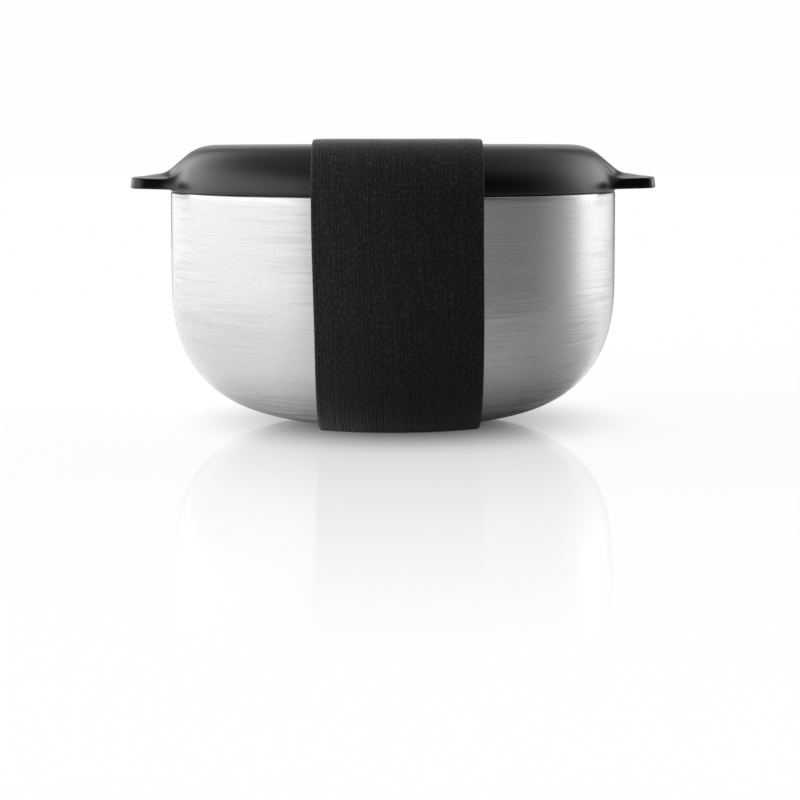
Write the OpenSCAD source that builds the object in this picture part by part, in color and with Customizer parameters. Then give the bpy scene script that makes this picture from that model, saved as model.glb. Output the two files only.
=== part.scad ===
// Insulated steel bowl: two pressed steel walls with a vacuum between them, a domed moulded
// lid with two ears, and an elastic band that goes round bowl and lid.
// Millimetres, +Z up. The origin is on the surface that the bowl stands on, under its middle.
// The band runs over the lid, down the front (-Y) and the back (+Y), and under the base.

/* [Bowl] */
// Outer diameter of the bowl
bowl_d = 145; // [125:1:175]
// Height of the bowl, from its base to its rim
bowl_h = 73.5; // [66:0.5:90]
// Height of the upright wall under the rim
upright_h = 28; // [18:0.5:32]
// Radius of the flat middle of the base
base_r = 24; // [23:0.5:30]
// Thickness of the pressed steel
steel_t = 0.5; // [0.4:0.1:0.7]
// Space between the two side walls
wall_gap = 4.5; // [3.5:0.5:6]
// Space between the two bases
base_gap = 7; // [6:0.5:9]
// Height of the land where the two walls are welded together under the rim
land_h = 3; // [2:0.5:4]
// Height of the shoulder between the land and the inner wall
shoulder_h = 5.5; // [4.5:0.5:7]
// Radius of the recess in the base
recess_r = 20; // [16:0.5:22]
// Depth of the recess in the base
recess_h = 1.6; // [1.4:0.1:2]

/* [Vacuum space] */
// Thickness of the heat reflecting foil
foil_t = 0.2; // [0.1:0.05:0.3]
// Radius of the hole that the air is pumped out through
port_r = 1.5; // [1:0.1:2]
// Radius of the head of the seal that closes the hole
seal_r = 3; // [2.5:0.1:4]
// Height of the head of the seal
seal_h = 0.7; // [0.5:0.1:0.8]
// Radius of the getter pellet
getter_r = 4; // [3:0.5:5]
// Height of the getter pellet
getter_h = 2.2; // [1.5:0.1:2.5]
// Distance from the bowl's axis to the getter
getter_x = 11; // [10:0.5:13]

/* [Lid] */
// Height of the lid above the rim
lid_h = 15.4; // [15.4:0.1:19]
// Radius of the lid's rounded shoulder
lid_round = 14.8; // [12:0.1:14.8]
// Wall thickness of the lid's cover
cover_t = 2; // [1.6:0.1:2.5]
// Height of the lip round the lid's lower edge
lip_h = 0.6; // [0.4:0.1:0.8]
// How far the lip stands out
lip_out = 0.2; // [0.1:0.05:0.3]
// Depth of the plug below the rim
plug_depth = 9.5; // [9:0.5:12]
// Wall thickness of the lid's liner
liner_t = 1.6; // [1.2:0.1:2]

/* [Ears] */
// How far the ears stand out from the bowl
ear_reach = 13; // [8:0.5:18]
// Width of the ears, seen from above
ear_w = 45; // [36:1:60]
// Thickness of the ears at their edge
ear_t = 3.4; // [2.5:0.1:4]
// How much thicker the ears are where they meet the dome
ear_crown = 1.8; // [1:0.1:2.4]
// Height of the ears' underside above the rim
ear_lift = 1; // [0.9:0.1:2]
// Radius of an ear's outer corners
ear_corner = 4.5; // [3:0.5:8]
// Radius of the hollow corner between an ear's side and the lid
root_r = 8; // [4:0.5:12]
// Steepness of the slope from the dome down to an ear, in degrees from level
slope_a = 40; // [35:1:50]
// How steeply an ear's top falls off to its sides: rise over run
side_rise = 1; // [0.8:0.1:2]

/* [Band] */
// Width of the elastic band
band_w = 50; // [30:1:60]
// Thickness of the elastic band
band_t = 1.6; // [1.2:0.1:2]
// Length of the lap where the band's ends are sewn together
lap_l = 18; // [12:1:20]
// Height of the lap's lower edge above the base
lap_up = 8; // [6:1:12]
// Width of a sewn stitch
thread_w = 0.8; // [0.5:0.1:1]
// Height of a stitch above the band
thread_t = 0.3; // [0.2:0.05:0.4]
// Length of a stitch
stitch_l = 2.4; // [2:0.1:3]
// Distance from one stitch to the next
stitch_step = 3.4; // [3.2:0.1:4]

/* [Fits] */
// Gap between the band and what it goes round
band_gap = 0.3; // [0.2:0.05:0.5]
// Gap between the lid's lower edge and the steel rim
seat_gap = 0.3; // [0.2:0.05:0.4]
// Gap between the gasket and the bowl
gasket_gap = 0.3; // [0.2:0.05:0.4]
// Gap between the lid's plug and the inner wall
plug_gap = 1.2; // [0.8:0.1:2]
// Gap between pieces that are pushed or welded together
push_gap = 0.1; // [0.05:0.05:0.15]

/* [Hidden] */
$fn = 96;

bowl_r = bowl_d / 2;
base_z = band_t + band_gap;
rim_z = base_z + bowl_h;
curve_h = bowl_h - upright_h;
curve_z = base_z + curve_h;
lid_z = rim_z + lid_h;
seat_z = rim_z + seat_gap;
// Roundness of the bowl's side: 2 is an ellipse, and more is squarer
side_power = 2.3;
foot_power = 2.4;
curve_steps = 18;
dome_steps = 12;
neck_steps = 10;
ear_steps = 6;
hem_steps = 8;

// The inner wall's outside, where the vacuum space ends
inner_grow = -(steel_t + wall_gap);
inner_grow_z = -(steel_t + base_gap);
neck_end = land_h + shoulder_h;

// The middle of the dome's round shoulder, in the lid's half section
dome_r = bowl_r - lip_out - lid_round;
dome_z = lid_z - lid_round;
skirt_r = bowl_r - lip_out - cover_t;

// The plug: its upper part is under the ledge's width, and the gasket sits below the ledge
ledge_depth = land_h + push_gap;
upper_r = bowl_r - steel_t - steel_t - cover_t;
plug_r = bowl_r - steel_t - steel_t - wall_gap - plug_gap;
flange_h = liner_t;
flange_z = seat_z + push_gap;
plug_z = rim_z - plug_depth;
// Share of the shoulder's height that the gasket fills
gasket_share = 0.6;
gasket_h = shoulder_h * gasket_share;
rib_h = liner_t / 2;
rib_out = liner_t / 3;

// The ears: each ends on an arc round the bowl's axis, with a round corner at each side
ear_z = rim_z + ear_lift;
ear_top = ear_z + ear_t;
ear_out = bowl_r + ear_reach;
ear_half = ear_w / 2;
corner_y = ear_half - ear_corner;
corner_x = sqrt(pow(ear_out - ear_corner, 2) - pow(corner_y, 2));
// The hollow corner between an ear's side and the lid's round skirt
lid_plan_r = bowl_r - lip_out - push_gap;
root_y = ear_half + root_r;
root_x = sqrt(pow(lid_plan_r + root_r, 2) - pow(root_y, 2));

function reversed(points) = [for (i = [len(points) - 1 : -1 : 0]) points[i]];
function all_but_first(points) = [for (i = [1 : len(points) - 1]) points[i]];

// A smooth step from 0 to 1
function ease(t) = (1 - cos(180 * t)) / 2;

// The bowl's side from the upright wall to the flat base, moved out by the given amounts
function wall_curve(grow_r, grow_z) = [
    for (i = [0 : curve_steps])
        let (a = 90 * i / curve_steps)
        [base_r + (bowl_r - base_r + grow_r) * pow(cos(a), 2 / side_power),
         curve_z - (curve_h + grow_z) * pow(sin(a), 2 / foot_power)]
];

// The dome's round shoulder from the lid's flat top to its upright skirt, moved out
function dome_curve(grow) = [
    for (i = [0 : dome_steps])
        let (a = 90 - 90 * i / dome_steps)
        [bowl_r - lid_round + (lid_round + grow) * cos(a), dome_z + (lid_round + grow) * sin(a)]
];

// Radius of the bowl's mouth at a depth below the rim: the land, the shoulder and the inner wall
function mouth_r(depth) =
    bowl_r - steel_t - steel_t
    - wall_gap * ease(min(max((depth - land_h) / shoulder_h, 0), 1));

// The bowl with its lid on, moved out: the band goes round this
function wrap_outline(grow) = concat(
    [[0, lid_z + grow]], dome_curve(grow), wall_curve(grow, grow), [[0, base_z - grow]]
);

// Outer wall: a drawn shell with a recess in its base and a round hem over the inner wall's edge
module outer_shell() {
    floor_z = base_z + recess_h;
    hem_z = rim_z - steel_t;
    hem = [
        for (i = [0 : hem_steps])
            let (a = 180 - 180 * i / hem_steps)
            [bowl_r - steel_t + steel_t * cos(a), hem_z + steel_t * sin(a)]
    ];
    color("silver")
    rotate_extrude()
    polygon(concat(
        [[bowl_r - steel_t, hem_z - steel_t], [bowl_r - steel_t - steel_t, hem_z - steel_t]],
        hem,
        wall_curve(0, 0),
        [[recess_r, base_z], [recess_r, floor_z], [port_r, floor_z], [port_r, floor_z + steel_t],
         [recess_r + steel_t, floor_z + steel_t], [recess_r + steel_t, base_z + steel_t]],
        reversed(wall_curve(-steel_t, -steel_t))
    ));
}

// Inner wall: the food bowl, with a flared neck that is welded to the outer wall
module inner_liner() {
    top_z = rim_z - steel_t - steel_t;
    neck = [
        for (i = [0 : neck_steps])
            let (depth = land_h + shoulder_h * i / neck_steps)
            [mouth_r(depth), rim_z - depth]
    ];
    color("lightgray")
    rotate_extrude()
    polygon(concat(
        [[bowl_r - steel_t - steel_t, top_z]],
        neck,
        wall_curve(inner_grow - steel_t, inner_grow_z - steel_t),
        [[0, base_z - inner_grow_z + steel_t], [0, base_z - inner_grow_z]],
        reversed(wall_curve(inner_grow, inner_grow_z)),
        [for (p = reversed(neck)) [p[0] + steel_t, p[1]]],
        [[bowl_r - steel_t, top_z]]
    ));
}

// Foil cup round the inner wall, in the vacuum space
module heat_foil() {
    inside = push_gap;
    outside = push_gap + foil_t;
    top_z = rim_z - neck_end - land_h;
    color("gold")
    rotate_extrude()
    polygon(concat(
        [[bowl_r + inner_grow + inside, top_z]],
        wall_curve(inner_grow + inside, inner_grow_z + inside),
        [[0, base_z - inner_grow_z - inside], [0, base_z - inner_grow_z - outside]],
        reversed(wall_curve(inner_grow + outside, inner_grow_z + outside)),
        [[bowl_r + inner_grow + outside, top_z]]
    ));
}

// Getter: a pellet that takes up stray gas, in a cup that is spot welded to the base
module getter_cup() {
    wall = steel_t / 2;
    outer = getter_r + push_gap + wall;
    color("gray")
    translate([getter_x, 0, base_z + recess_h + steel_t])
    difference() {
        union() {
            cylinder(h = getter_h, r = outer);
            cylinder(h = wall, r = outer + steel_t);
        }
        translate([0, 0, wall]) cylinder(h = getter_h, r = getter_r + push_gap);
    }
}

module getter_pellet() {
    wall = steel_t / 2;
    color("dimgray")
    translate([getter_x, 0, base_z + recess_h + steel_t + wall])
    cylinder(h = getter_h, r = getter_r);
}

// Seal that fills the pumping hole, with a head in the recess
module port_seal() {
    color("slategray")
    translate([0, 0, base_z + recess_h])
    rotate_extrude()
    polygon([[0, -seal_h], [seal_r - seal_h, -seal_h], [seal_r, 0], [port_r, 0], [port_r, steel_t], [0, steel_t]]);
}

// Thin cap pressed into the recess: a disc with a turned-up flange
module base_cap() {
    cap_r = recess_r - push_gap;
    low_z = base_z + push_gap;
    top_z = base_z + recess_h - push_gap;
    color("silver")
    rotate_extrude()
    polygon([[0, low_z], [cap_r - steel_t, low_z], [cap_r, low_z + steel_t], [cap_r, top_z],
             [cap_r - steel_t, top_z], [cap_r - steel_t, low_z + steel_t], [0, low_z + steel_t]]);
}

// Half section of the solid dome, with its outside moved in
module dome_section(inset) {
    r = bowl_r - lip_out - inset;
    round_r = lid_round - inset;
    intersection() {
        union() {
            translate([0, rim_z]) square([r - round_r, lid_h - inset]);
            translate([0, rim_z]) square([r, dome_z - rim_z]);
            translate([dome_r, dome_z]) circle(round_r);
        }
        translate([0, seat_z]) square([r, lid_z - inset - seat_z]);
    }
}

// Points on an arc, from one angle to another
function arc(centre, r, from, to) = [
    for (i = [0 : ear_steps])
        let (a = from + (to - from) * i / ear_steps)
        centre + r * [cos(a), sin(a)]
];

// Outline of one ear from above, from the middle of its end to where its side runs into the lid
function half_ear(side) =
    let (turn = atan2(corner_y, corner_x))
    [for (p = concat(
        arc([0, 0], ear_out, 0, turn),
        all_but_first(arc([corner_x, corner_y], ear_corner, turn, 90)),
        arc([root_x, root_y], root_r, -90, atan2(root_y, root_x) - 180)
    )) [p[0], side * p[1]]];

// Half section of an ear's top: a slope that leaves the dome, and a slighter one out to the ear's end
module ear_section() {
    start = lid_round - push_gap;
    start_r = dome_r + start * sin(slope_a);
    start_z = dome_z + start * cos(slope_a);
    crown_z = ear_top + ear_crown;
    low_z = ear_z + ear_t / 2;
    polygon([[start_r, start_z], [start_r + (start_z - crown_z) / tan(slope_a), crown_z],
             [ear_out - ear_crown / 2, ear_top], [ear_out - ear_crown / 2, low_z], [dome_r, low_z]]);
}

// One ear: a plate with a hollow corner at each side of its root, under a top that falls off to the sides
module ear() {
    low_z = ear_z + ear_t / 2;
    half = ear_half - push_gap;
    fall = (lid_z - low_z) / side_rise;
    translate([0, 0, ear_z])
    linear_extrude(ear_t)
    polygon(concat(half_ear(1), reversed(all_but_first(half_ear(-1)))));
    intersection() {
        rotate_extrude() ear_section();
        rotate([90, 0, 90])
        linear_extrude(ear_out)
        polygon([[-half, low_z], [half, low_z], [half - fall, lid_z], [fall - half, lid_z]]);
    }
}

// Cover of the lid: a moulded dome with a lip at its lower edge and two ears
module lid_cover() {
    color("#222222")
    difference() {
        union() {
            rotate_extrude() dome_section(0);
            translate([0, 0, seat_z]) cylinder(h = lip_h, r = bowl_r);
            ear();
            mirror([1, 0, 0]) ear();
        }
        rotate_extrude() dome_section(cover_t);
        translate([0, 0, seat_z - lip_h]) cylinder(h = dome_z - seat_z + lip_h, r = skirt_r);
    }
}

// Liner of the lid: a plug that hangs into the mouth, with a ledge that the gasket sits under
module lid_liner() {
    flange_r = skirt_r - push_gap;
    gasket_z = rim_z - ledge_depth - gasket_h - push_gap;
    color("#2b2b2b")
    rotate_extrude()
    union() {
        difference() {
            polygon([[0, plug_z], [plug_r - liner_t, plug_z], [plug_r, plug_z + liner_t],
                     [plug_r, rim_z - ledge_depth], [upper_r, rim_z - ledge_depth], [upper_r, flange_z],
                     [flange_r, flange_z], [flange_r, flange_z + flange_h], [0, flange_z + flange_h]]);
            polygon([[0, plug_z + liner_t], [plug_r - liner_t, plug_z + liner_t],
                     [plug_r - liner_t, rim_z - ledge_depth + liner_t],
                     [upper_r - liner_t, rim_z - ledge_depth + liner_t], [upper_r - liner_t, lid_z], [0, lid_z]]);
        }
        polygon([[plug_r - rib_out, gasket_z - rib_h], [plug_r + rib_out, gasket_z - rib_h / 2],
                 [plug_r + rib_out, gasket_z], [plug_r - rib_out, gasket_z]]);
    }
}

// Foam that fills the lid between its liner and its cover
module lid_foam() {
    low_r = plug_r - liner_t - push_gap;
    mid_r = upper_r - liner_t - push_gap;
    mid_z = rim_z - ledge_depth + liner_t + push_gap;
    top_z = flange_z + flange_h + push_gap;
    color("ivory")
    rotate_extrude()
    union() {
        polygon([[0, plug_z + liner_t + push_gap], [low_r, plug_z + liner_t + push_gap], [low_r, mid_z],
                 [mid_r, mid_z], [mid_r, top_z], [0, top_z]]);
        intersection() {
            dome_section(cover_t + push_gap);
            translate([0, top_z]) square([bowl_r, lid_h]);
        }
    }
}

// Gasket under the ledge: its outside follows the bowl's shoulder
module lid_gasket() {
    top_depth = ledge_depth + push_gap;
    low_depth = top_depth + gasket_h - push_gap;
    lip_t = liner_t / 2;
    inner_r = plug_r + push_gap;
    color("gray")
    rotate_extrude()
    polygon(concat(
        [[inner_r, rim_z - low_depth], [inner_r, rim_z - top_depth]],
        [
            for (i = [0 : neck_steps])
                let (depth = top_depth + (gasket_h - push_gap) * i / neck_steps)
                [mouth_r(depth) - gasket_gap, rim_z - depth]
        ],
        [[mouth_r(low_depth) - gasket_gap - lip_t, rim_z - low_depth],
         [(inner_r + mouth_r(low_depth) - gasket_gap) / 2, rim_z - low_depth + lip_t]]
    ));
}

// Elastic band: one strip round bowl and lid, whose ends lap at the back
module elastic_band() {
    color("#1c1c1c")
    intersection() {
        union() {
            rotate_extrude()
            difference() {
                polygon(wrap_outline(band_gap + band_t));
                polygon(wrap_outline(band_gap));
            }
            intersection() {
                rotate_extrude() lap_section(band_gap + band_t / 2, band_gap + band_t + band_t);
                translate([-bowl_r, 0, 0]) cube([bowl_d, bowl_d, lid_z]);
            }
        }
        translate([-band_w / 2, -bowl_d, -band_t]) cube([band_w, bowl_d + bowl_d, lid_z + lid_z]);
    }
}

// Part of the band's half section at the height of the lap, between two distances from the bowl
module lap_section(near, far) {
    intersection() {
        difference() {
            polygon(wrap_outline(far));
            polygon(wrap_outline(near));
        }
        translate([0, base_z + lap_up]) square([bowl_d, lap_l]);
    }
}

// Rows of stitches that hold the lap
module band_stitching() {
    count = floor((band_w - stitch_step) / stitch_step);
    surface = band_gap + band_t + band_t;
    color("black")
    intersection() {
        rotate_extrude()
        intersection() {
            lap_section(surface, surface + thread_t);
            union() {
                for (row_share = [0.14, 0.38, 0.62, 0.86])
                    translate([0, base_z + lap_up + lap_l * row_share - thread_w / 2]) square([bowl_d, thread_w]);
            }
        }
        union() {
            for (i = [0 : count - 1])
                translate([(i - (count - 1) / 2) * stitch_step - stitch_l / 2, 0, 0]) cube([stitch_l, bowl_d, lid_z]);
        }
    }
}

outer_shell();
inner_liner();
heat_foil();
getter_cup();
getter_pellet();
port_seal();
base_cap();
lid_cover();
lid_liner();
lid_foam();
lid_gasket();
elastic_band();
band_stitching();
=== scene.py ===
"""Insulated steel bowl with lid and elastic band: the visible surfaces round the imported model."""
import math

import bmesh
import bpy
import numpy as np
from bpy.props import FloatProperty, FloatVectorProperty, IntProperty, PointerProperty
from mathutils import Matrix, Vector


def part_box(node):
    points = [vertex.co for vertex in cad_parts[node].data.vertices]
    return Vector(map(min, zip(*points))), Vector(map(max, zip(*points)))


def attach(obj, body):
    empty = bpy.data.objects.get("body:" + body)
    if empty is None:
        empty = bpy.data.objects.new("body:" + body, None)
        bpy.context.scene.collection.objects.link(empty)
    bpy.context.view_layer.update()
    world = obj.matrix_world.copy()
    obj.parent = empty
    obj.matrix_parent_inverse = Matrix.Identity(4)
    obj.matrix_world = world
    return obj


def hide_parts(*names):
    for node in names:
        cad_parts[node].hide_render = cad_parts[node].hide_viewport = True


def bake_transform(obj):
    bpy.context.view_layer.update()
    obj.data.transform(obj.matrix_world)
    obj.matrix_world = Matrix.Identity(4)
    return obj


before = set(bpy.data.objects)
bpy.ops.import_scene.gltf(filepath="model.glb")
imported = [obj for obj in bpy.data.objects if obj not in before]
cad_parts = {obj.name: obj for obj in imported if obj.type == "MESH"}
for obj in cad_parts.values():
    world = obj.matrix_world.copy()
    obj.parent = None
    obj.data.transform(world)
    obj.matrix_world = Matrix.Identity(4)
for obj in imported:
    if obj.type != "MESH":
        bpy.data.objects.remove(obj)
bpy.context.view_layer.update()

bl_info = {
    "name": "Insulated steel bowl",
    "version": (1, 0, 0),
    "blender": (4, 5, 0),
    "location": "3D View > Sidebar > Bowl",
    "description": "Makes a double-walled steel bowl with a moulded lid and an elastic band",
    "category": "Add Mesh",
}

MM = 0.001

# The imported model's own places, in metres
SHELL_LOW, SHELL_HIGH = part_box("outer_shell")
LID_LOW, LID_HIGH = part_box("lid_cover")
BAND_LOW, BAND_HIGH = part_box("elastic_band")
CAP_LOW, CAP_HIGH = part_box("base_cap")
BOWL_R = SHELL_HIGH[0]
BASE_Z = SHELL_LOW[2]
RIM_Z = SHELL_HIGH[2]
SEAT_Z = LID_LOW[2]
# The photograph shows the dome 0.25 mm lower and the ears 0.4 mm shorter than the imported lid
LID_Z = LID_HIGH[2] - 0.25 * MM
EAR_X = LID_HIGH[0] - 0.4 * MM


def linear(code):
    """The linear colour, with alpha, of an sRGB hex code such as "#1c1c1c"."""
    parts = [int(code[i:i + 2], 16) / 255 for i in (1, 3, 5)]
    return [c / 12.92 if c <= 0.04045 else ((c + 0.055) / 1.055) ** 2.4 for c in parts] + [1.0]


def colour_property(name, description, code):
    """A colour setting whose default is an sRGB hex code."""
    return FloatVectorProperty(name=name, description=description, subtype="COLOR", size=4, min=0, max=1,
                               default=linear(code))


def length_mm(name, description, mm):
    """A length setting with its default in millimetres."""
    return FloatProperty(name=name, description=description, default=mm * MM, min=0, unit="LENGTH",
                         precision=4)


class BowlSettings(bpy.types.PropertyGroup):
    """Sizes of the steel bowl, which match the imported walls."""

    base_r: length_mm("Base radius", "Radius of the flat middle of the base", 24)
    upright: length_mm("Upright wall", "Height of the upright wall under the rim", 28)
    sheet: length_mm("Steel", "Thickness of the pressed steel", 0.5)
    wall_gap: length_mm("Wall gap", "Space between the two side walls", 4.5)
    base_gap: length_mm("Base gap", "Space between the two bases", 7)
    land: length_mm("Land", "Height of the welded land under the rim", 3)
    shoulder: length_mm("Shoulder", "Height of the shoulder under the land", 5.5)
    recess_r: length_mm("Recess", "Radius of the recess in the base", 20)
    recess_h: length_mm("Recess depth", "Depth of the recess in the base", 1.6)
    port_r: length_mm("Port", "Radius of the pumping hole", 1.5)
    steps: IntProperty(name="Steps", description="Steps round the bowl", default=360, min=48, max=720)
    steel: colour_property("Steel", "Brushed stainless steel", "#d6d6d6")


class LidSettings(bpy.types.PropertyGroup):
    """Sizes of the moulded lid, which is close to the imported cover."""

    shoulder: length_mm("Shoulder", "Radius of the rounded shoulder", 14.8)
    wall: length_mm("Wall", "Wall thickness of the cover", 2)
    lip_h: length_mm("Lip", "Height of the lip at the lower edge", 0.6)
    lip_out: length_mm("Lip reach", "How far the lip stands out", 0.2)
    ear_w: length_mm("Ear width", "Width of an ear from above", 45)
    ear_t: length_mm("Ear edge", "Thickness of an ear at its edge", 3.4)
    crown: length_mm("Ear crown", "How much thicker an ear is at its root", 1.65)
    tip: length_mm("Ear tip", "How much higher an ear's end is than its root", 0.35)
    ear_lift: length_mm("Ear lift", "Height of an ear's underside above the rim", 1)
    corner: length_mm("Ear corner", "Radius of an ear's outer corners", 4.5)
    root: length_mm("Root", "Radius of the corner between ear and lid", 8)
    slope: FloatProperty(name="Slope", description="Where the slope to an ear leaves the round shoulder",
                         default=math.radians(42), subtype="ANGLE")
    edge: length_mm("Edge", "Radius of an ear's edges", 0.5)
    plastic: colour_property("Plastic", "Matt black polypropylene", "#070707")


class BandSettings(bpy.types.PropertyGroup):
    """Sizes of the elastic band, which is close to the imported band."""

    gap: length_mm("Gap", "Gap to what the band goes round", 0.3)
    thick: length_mm("Thickness", "Thickness of the elastic", 1.6)
    aside: length_mm("Aside", "How far the band sits to the right of the middle", 1.55)
    lean: length_mm("Lean", "How much further to the right the band's lower end is", 0.55)
    spread: FloatProperty(name="Spread", description="Share by which the band is wider over the lid",
                          default=0.012)
    rib: length_mm("Rib", "Depth of the woven ribs", 0.1)
    ribs: IntProperty(name="Ribs", description="Ribs across the band", default=48, min=10, max=80)
    lap_low: length_mm("Lap", "Height of the lap's lower edge above the base", 8)
    lap_high: length_mm("Lap top", "Height of the lap's upper edge above the base", 26)
    thread: length_mm("Thread", "Thickness of the sewing thread", 0.55)
    stitch: length_mm("Stitch", "Length of a stitch", 2.4)
    step: length_mm("Stitch step", "Distance from stitch to stitch", 3.4)
    elastic: colour_property("Elastic", "Black woven elastic", "#1a1a1b")
    # Painted glints: specks of this lighter colour stand for yarns that catch the light
    fleck_glint: colour_property("Fleck", "Lighter yarns in the elastic", "#606061")


SETTINGS = {"steel_bowl": BowlSettings, "bowl_lid": LidSettings, "bowl_band": BandSettings}


def ease(t):
    """A smooth step from 0 to 1: half a cosine wave."""
    return (1 - np.cos(np.pi * np.clip(t, 0, 1))) / 2


# Points closer than this are one point, and lengths under the second make no difference
WELD = 0.001 * MM
TINY = 0.01 * MM


def weld(mesh):
    """Merges doubled points, as at a pole or a seam, and turns the faces outwards."""
    work = bmesh.new()
    work.from_mesh(mesh)
    bmesh.ops.remove_doubles(work, verts=work.verts, dist=WELD)
    bmesh.ops.dissolve_degenerate(work, edges=work.edges, dist=WELD / 2)
    bmesh.ops.recalc_face_normals(work, faces=work.faces)
    work.to_mesh(mesh)
    work.free()


def surface(name, points, closed_u, closed_v, uv=None, caps=False, sharp=40):
    """A mesh over a grid of points, one quad per cell. The grid is closed in u or v where that is said, and
    caps joins the first and the last row of a closed strip to themselves, column by column. The values of uv
    are each point's place on a flat strip. Edges that turn by more than sharp degrees are drawn sharp."""
    rows, columns = points.shape[:2]
    index = np.arange(rows * columns).reshape(rows, columns)
    across = np.vstack([index, index[:1]]) if closed_u else index
    across = np.hstack([across, across[:, :1]]) if closed_v else across
    corners = [across[:-1, :-1], across[1:, :-1], across[1:, 1:], across[:-1, 1:]]
    quads = np.stack(corners, axis=-1).reshape(-1, 4)
    if caps:
        left = np.arange(columns // 2 - 1)
        right = columns - 1 - left
        for row, order in ((index[0], 1), (index[-1], -1)):
            cap = np.stack([row[left], row[left + 1], row[right - 1], row[right]], axis=-1)
            quads = np.vstack([quads, cap[:, ::order]])
    mesh = bpy.data.meshes.new(name)
    mesh.vertices.add(rows * columns)
    mesh.vertices.foreach_set("co", points.reshape(-1).astype(np.float32))
    mesh.loops.add(quads.size)
    mesh.loops.foreach_set("vertex_index", quads.reshape(-1).astype(np.int32))
    mesh.polygons.add(len(quads))
    mesh.polygons.foreach_set("loop_start", np.arange(0, quads.size, 4, dtype=np.int32))
    if uv is not None:
        layer = mesh.uv_layers.new(name="flat")
        per_corner = uv.reshape(-1, 2)[quads.reshape(-1)]
        layer.data.foreach_set("uv", per_corner.reshape(-1).astype(np.float32))
    mesh.update(calc_edges=True)
    mesh.validate()
    weld(mesh)
    mesh.polygons.foreach_set("use_smooth", np.ones(len(mesh.polygons), dtype=bool))
    mesh.set_sharp_from_angle(angle=math.radians(sharp))
    piece = bpy.data.objects.new(name, mesh)
    bpy.context.scene.collection.objects.link(piece)
    return piece


def revolve(name, profile, steps, closed=True):
    """A surface of revolution: each point (r, z) of the profile is turned round the Z axis. A closed profile
    is joined to its own start, and an open one begins and ends on the axis."""
    turn = np.linspace(0, 2 * np.pi, steps, endpoint=False)[:, None]
    r, z = profile[None, :, 0], profile[None, :, 1]
    points = np.stack([r * np.cos(turn), r * np.sin(turn), z + 0 * turn], axis=-1)
    return surface(name, points, True, closed)


def join_path(*parts):
    """One profile from several lists of (r, z) points."""
    return np.vstack([np.asarray(part, dtype=float).reshape(-1, 2) for part in parts])


def arc(centre, radius, start, end, count):
    """Points on an arc round a centre, from one angle to another, in degrees."""
    a = np.radians(np.linspace(start, end, count))
    return np.stack([centre[0] + radius * np.cos(a), centre[1] + radius * np.sin(a)], axis=-1)


# Powers of the superellipse for its two axes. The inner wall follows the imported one, and the outer wall is a
# little fuller, as in the photograph
INNER_POWERS = (2.3, 2.4)
OUTER_POWERS = (2.46, 2.56)


def wall_curve(bowl, grow_r, grow_z, powers):
    """The bowl's side from its upright wall to its flat base: a quarter of a superellipse, moved out by the
    given amounts. Its half axes are the bowl's radius less the base's, and the height of the curve."""
    a = np.linspace(0, np.pi / 2, 90)
    high = RIM_Z - bowl.upright
    width = BOWL_R - bowl.base_r + grow_r
    height = high - BASE_Z + grow_z
    r = bowl.base_r + width * np.cos(a).clip(0) ** (2 / powers[0])
    return np.stack([r, high - height * np.sin(a) ** (2 / powers[1])], axis=-1)


def add(tree, kind, values=None, **settings):
    """Adds a node, sets its settings, and gives its sockets values or links."""
    node = tree.nodes.new(kind)
    for key, value in settings.items():
        setattr(node, key, value)
    for socket, value in (values or {}).items():
        if isinstance(value, bpy.types.NodeSocket):
            tree.links.new(value, node.inputs[socket])
        else:
            node.inputs[socket].default_value = value
    return node


def material(name):
    """A new material with an empty node tree and an output."""
    made = bpy.data.materials.new(name)
    made.use_nodes = True
    made.node_tree.nodes.clear()
    return made, made.node_tree, made.node_tree.nodes.new("ShaderNodeOutputMaterial")


def fine_grain(tree, colour, grain_mm, detail, levels, strength, share):
    """A cloudy grain of the given width over the whole piece. It multiplies the colour by a value between
    the two levels, and raises bumps by that share of its width. Returns the colour's and the bump's
    sockets."""
    place = add(tree, "ShaderNodeTexCoord").outputs["Object"]
    grain = add(tree, "ShaderNodeTexNoise", {"Vector": place, "Scale": 1 / (grain_mm * MM),
                                             "Detail": detail})
    shade = add(tree, "ShaderNodeMapRange", {"Value": grain.outputs["Fac"], "To Min": levels[0],
                                             "To Max": levels[1]})
    tone = add(tree, "ShaderNodeMix", {"Factor": 1.0, 6: colour, 7: shade.outputs[0]}, data_type="RGBA",
               blend_type="MULTIPLY")
    bump = add(tree, "ShaderNodeBump", {"Height": grain.outputs["Fac"], "Strength": strength,
                                        "Distance": grain_mm * MM * share})
    return tone.outputs[2], bump.outputs[0]


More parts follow.
